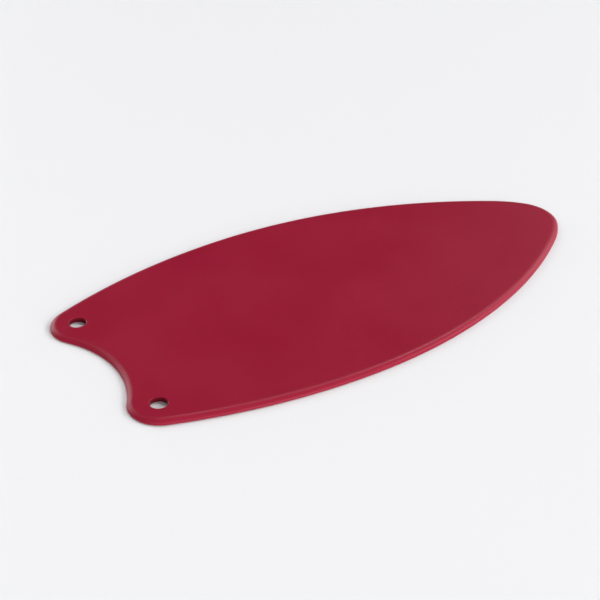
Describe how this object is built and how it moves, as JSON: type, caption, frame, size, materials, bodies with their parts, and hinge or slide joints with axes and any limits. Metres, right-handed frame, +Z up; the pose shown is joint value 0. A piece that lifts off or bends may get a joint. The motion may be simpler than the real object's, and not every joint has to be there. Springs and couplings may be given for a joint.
{
  "type": "iron rest mat",
  "caption": "Flat one-piece silicone mat in the outline of an iron's soleplate, with a hollowed heel and hanging holes, on which a hot iron is rested.",
  "frame": {"origin": "centre of the underside: midway between the ends of the heel lobes and the tip of the nose, on the plane of symmetry", "axes": "+X along the mat to the tip of the nose, +Y across it, +Z up out of the top face, on which the iron is put"},
  "size_m": [0.27, 0.14, 0.0025],
  "materials": {
    "silicone": "matte crimson silicone rubber, very slightly satin on its rounded edge"
  },
  "bodies": {
    "root": {"silicone_mat": "silicone"}
  },
  "joints": []
}
